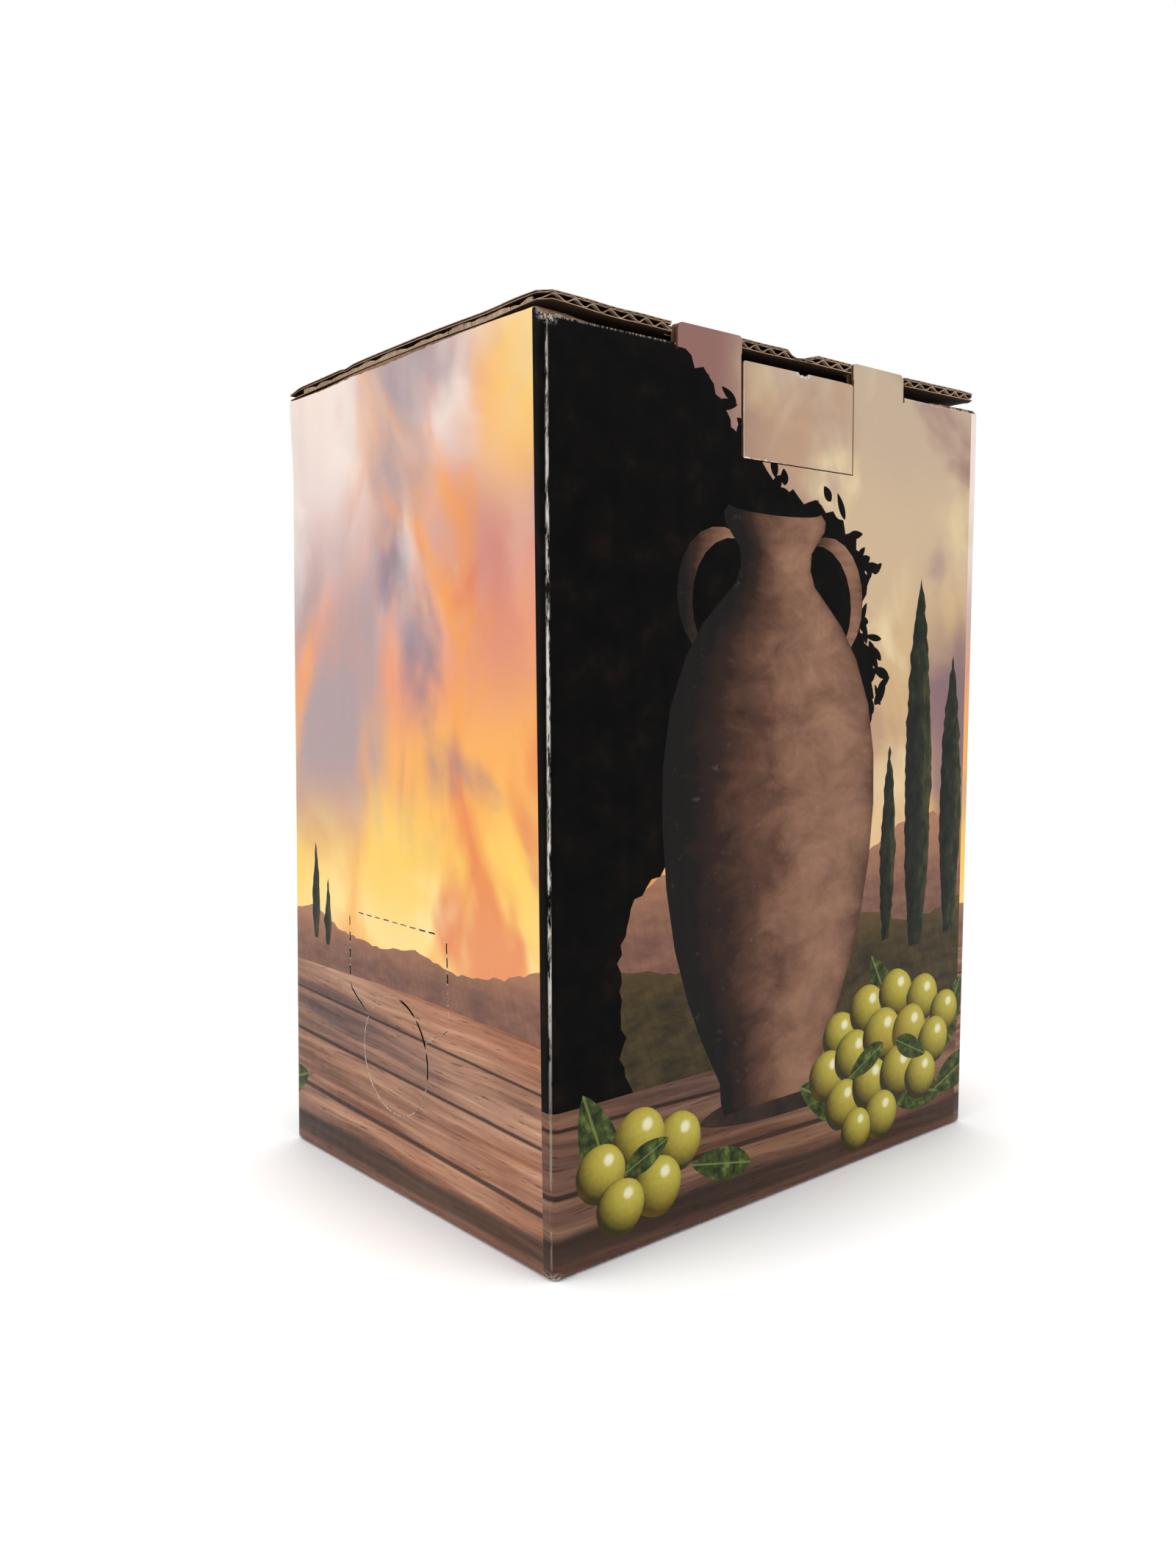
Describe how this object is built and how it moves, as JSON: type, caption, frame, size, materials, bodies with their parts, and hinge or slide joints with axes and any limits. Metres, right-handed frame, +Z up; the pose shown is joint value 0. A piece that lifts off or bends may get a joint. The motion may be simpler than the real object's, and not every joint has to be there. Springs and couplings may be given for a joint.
{
  "type": "bag in box carton",
  "caption": "Empty corrugated carton for a boxed drink bag, with a perforated tap door, a push-in hand flap and a hinged lid that closes between upright tabs.",
  "frame": {"origin": "middle of the bottom, on the surface that the carton stands on", "axes": "+Z up; the narrow face with the tap door looks along -Y; the wide face with the hand flap and the tabs looks along +X"},
  "size_m": [0.141, 0.187, 0.256],
  "materials": {
    "printed_board": "printed, satin",
    "light_printed_board": "printed, satin",
    "kraft_board": "plain brown board, matt"
  },
  "bodies": {
    "carton": {"carton": "printed_board"},
    "lid": {"lid": "kraft_board"},
    "hand_flap": {"hand_flap": "light_printed_board"}
  },
  "joints": [
    {"name": "lid_fold", "type": "hinge", "parent": "carton", "child": "lid", "pos_m": [-0.0705, 0, 0.251], "axis": [0, -1, 0], "range_deg": [0, 180]},
    {"name": "hand_flap_crease", "type": "hinge", "parent": "carton", "child": "hand_flap", "pos_m": [0.0705, 0, 0.2214], "axis": [0, -1, 0], "range_deg": [0, 75]}
  ]
}
